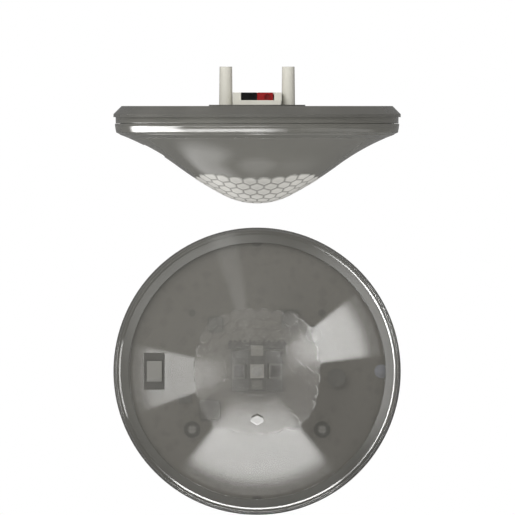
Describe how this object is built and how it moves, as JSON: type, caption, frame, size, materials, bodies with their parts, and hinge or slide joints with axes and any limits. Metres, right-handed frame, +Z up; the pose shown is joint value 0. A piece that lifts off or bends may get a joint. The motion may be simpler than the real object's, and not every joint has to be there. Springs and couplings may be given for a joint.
{
  "type": "presence detector",
  "caption": "Round ceiling presence detector with a faceted smoky lens dome, bevelled casing, bayonet mounting plate and pluggable bus connector.",
  "frame": {"origin": "centre of the mounting plate's back face, which lies on the ceiling", "axes": "+Z up into the ceiling, square to the mounting plate; the lens looks down along -Z; +X to the right and -Y towards the viewer in the picture's side view"},
  "size_m": [0.104, 0.104, 0.0496],
  "materials": {
    "plate_plastic": "smooth moulded grey plastic",
    "casing_plastic": "glossy moulded warm grey plastic",
    "lens_plastic": "glossy smoky grey plastic, slightly see-through",
    "pale_plastic": "pale warm grey moulded plastic",
    "plug_black": "black moulded plastic",
    "plug_red": "dark red moulded plastic",
    "sheet_metal": "tin-plated strip",
    "brass_pins": "tin-plated brass",
    "board_laminate": "dark solder mask on glass-fibre laminate",
    "black_steel": "black screws",
    "dark_plastic": "black moulded plastic",
    "sensor_metal": "plated sensor packages",
    "filter_glass": "dark infrared filter",
    "light_package": "white light package",
    "clear_resin": "clear resin",
    "sensor_resin": "pale resin package",
    "receiver_resin": "bluish grey resin",
    "button_plastic": "grey button cap",
    "flat_cable": "flat flexible cable",
    "chip_resin": "black moulded chips",
    "can_aluminium": "capacitor cans",
    "ferrite": "ferrite core"
  },
  "bodies": {
    "ceiling_plate": {"mounting_plate": "plate_plastic"},
    "detector_head": {"rear_cover": "casing_plastic", "connector_block": "pale_plastic", "bus_pins": "brass_pins", "main_board": "board_laminate", "board_screws": "black_steel", "sensor_carrier": "dark_plastic", "heat_sensor_left": "sensor_metal", "heat_sensor_right": "sensor_metal", "heat_window_left": "filter_glass", "heat_window_right": "filter_glass", "sensor_leads": "sheet_metal", "light_board": "board_laminate", "status_light": "light_package", "light_lens": "clear_resin", "brightness_sensor": "sensor_resin", "infrared_receiver": "receiver_resin", "button_frame": "dark_plastic", "programming_switch": "dark_plastic", "board_header": "dark_plastic", "ribbon": "flat_cable", "processor_chip": "chip_resin", "bus_coupler": "chip_resin", "storage_capacitors": "can_aluminium", "choke": "ferrite", "timing_crystal": "sheet_metal"},
    "lens_cover": {"bezel_ring": "casing_plastic", "lens_dome": "lens_plastic"},
    "bus_plug": {"plug_housing_black": "plug_black", "plug_housing_red": "plug_red", "plug_contact_black": "sheet_metal", "plug_contact_red": "sheet_metal", "plug_springs_black": "sheet_metal", "plug_springs_red": "sheet_metal"},
    "button": {"programming_button": "button_plastic", "switch_plunger": "button_plastic"}
  },
  "joints": [
    {"name": "twist", "type": "hinge", "parent": "ceiling_plate", "child": "detector_head", "pos_m": [0, 0, 0], "axis": [0, 0, -1], "range_deg": [0, 10]},
    {"name": "cover_pull", "type": "slide", "parent": "detector_head", "child": "lens_cover", "axis": [0, 0, -1], "range_m": [0, 0.04]},
    {"name": "plug_pull", "type": "slide", "parent": "detector_head", "child": "bus_plug", "axis": [0, 0, 1], "range_m": [0, 0.011]},
    {"name": "button_press", "type": "slide", "parent": "detector_head", "child": "button", "axis": [0, 0, 1], "range_m": [0, 0.0003], "stiffness_N_per_m": 3000, "springref_m": -0.0002}
  ]
}
